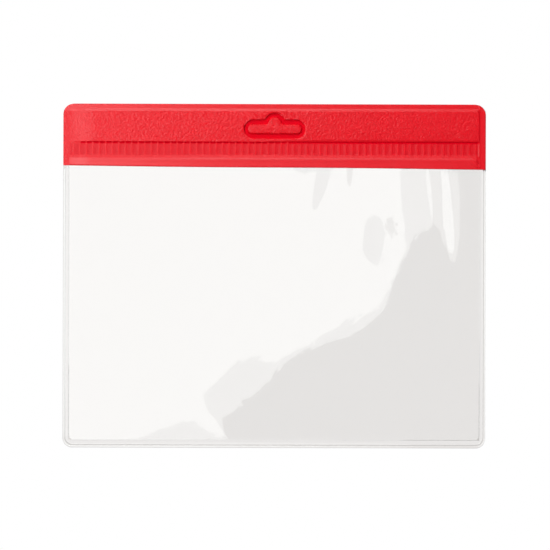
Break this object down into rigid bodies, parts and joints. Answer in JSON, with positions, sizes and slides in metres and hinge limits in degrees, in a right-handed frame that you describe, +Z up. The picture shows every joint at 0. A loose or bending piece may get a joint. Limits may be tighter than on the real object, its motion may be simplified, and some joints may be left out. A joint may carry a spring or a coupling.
{
  "type": "lanyard badge holder",
  "caption": "Soft clear card pocket in landscape format, under a red grained header with a ribbed weld, a loose lip and a tear-out lanyard slot.",
  "frame": {"origin": "centre of the lanyard slot, in the middle plane of the back film", "axes": "+X along the width, to the right as seen from the front; +Y out of the back; +Z up, from the pocket to the header"},
  "size_m": [0.11, 0.0019, 0.0895],
  "materials": {
    "clear_film": "clear soft PVC, glossy and faintly wavy",
    "clear_weld": "clear soft PVC, fused and pressed, with a bead along its edge",
    "red_grained": "red soft PVC with a fine leather grain, satin",
    "red_smooth": "red soft PVC, smooth and slightly glossy"
  },
  "bodies": {
    "holder": {"back_film": "clear_film", "pocket_weld": "clear_weld", "header_front_strip": "red_grained", "header_back_strip": "red_grained", "slot_weld": "red_smooth"},
    "window": {"front_film": "clear_film"},
    "lip": {"header_lip": "red_smooth"},
    "plug": {"slot_plug_front": "red_grained", "slot_plug_core": "clear_film", "slot_plug_back": "red_grained"}
  },
  "joints": [
    {"name": "mouth_open", "type": "hinge", "parent": "holder", "child": "window", "pos_m": [0, -0.0007, -0.08085], "axis": [1, 0, 0], "range_deg": [0, 6], "stiffness_Nm_per_rad": 0.02},
    {"name": "lip_lift", "type": "hinge", "parent": "holder", "child": "lip", "pos_m": [0, -0.00077, -0.00756], "axis": [-1, 0, 0], "range_deg": [0, 60], "stiffness_Nm_per_rad": 0.001},
    {"name": "plug_push_out", "type": "slide", "parent": "holder", "child": "plug", "axis": [0, 1, 0], "range_m": [0, 0.006]}
  ]
}
